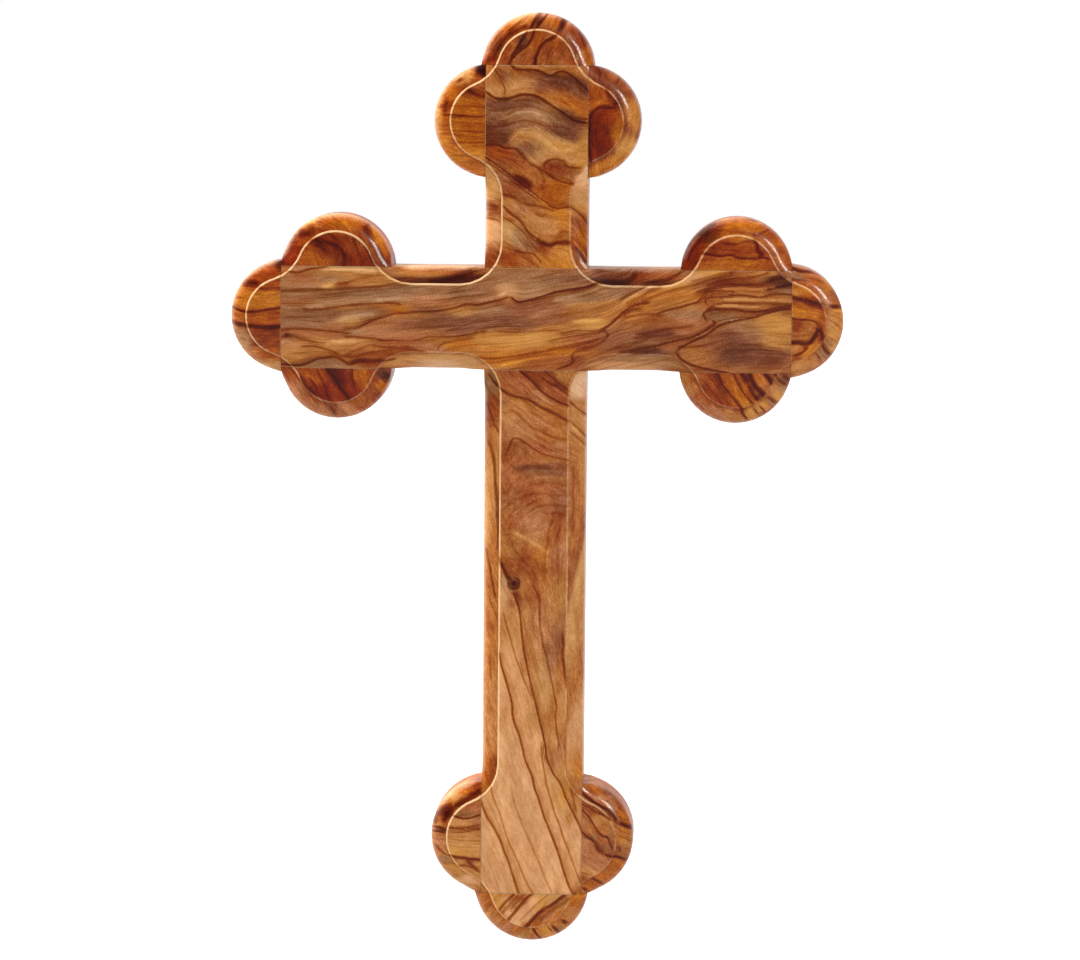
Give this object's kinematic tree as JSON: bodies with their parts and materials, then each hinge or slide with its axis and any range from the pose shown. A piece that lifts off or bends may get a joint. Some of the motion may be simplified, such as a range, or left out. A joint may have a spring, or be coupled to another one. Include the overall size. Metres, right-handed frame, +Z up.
{
  "type": "wall cross",
  "caption": "Flat wooden wall cross with three rounded buds at the end of each arm, a routed front edge and a keyhole in the back.",
  "frame": {"origin": "on the flat back, where the centre lines of the two boards cross", "axes": "+X to the viewer's right, +Y into the wall, +Z up along the upright"},
  "size_m": [0.1986, 0.018, 0.3041],
  "materials": {
    "crossbar_olive_wood": "satin",
    "upright_olive_wood": "satin",
    "bud_olive_wood": "satin"
  },
  "bodies": {
    "root": {"crossbar": "crossbar_olive_wood", "upright": "upright_olive_wood", "right_arm_lower_bud": "bud_olive_wood", "right_arm_outer_bud": "bud_olive_wood", "right_arm_upper_bud": "bud_olive_wood", "top_arm_right_bud": "bud_olive_wood", "top_arm_crown_bud": "bud_olive_wood", "top_arm_left_bud": "bud_olive_wood", "left_arm_upper_bud": "bud_olive_wood", "left_arm_outer_bud": "bud_olive_wood", "left_arm_lower_bud": "bud_olive_wood", "bottom_arm_left_bud": "bud_olive_wood", "bottom_arm_foot_bud": "bud_olive_wood", "bottom_arm_right_bud": "bud_olive_wood"}
  },
  "joints": []
}
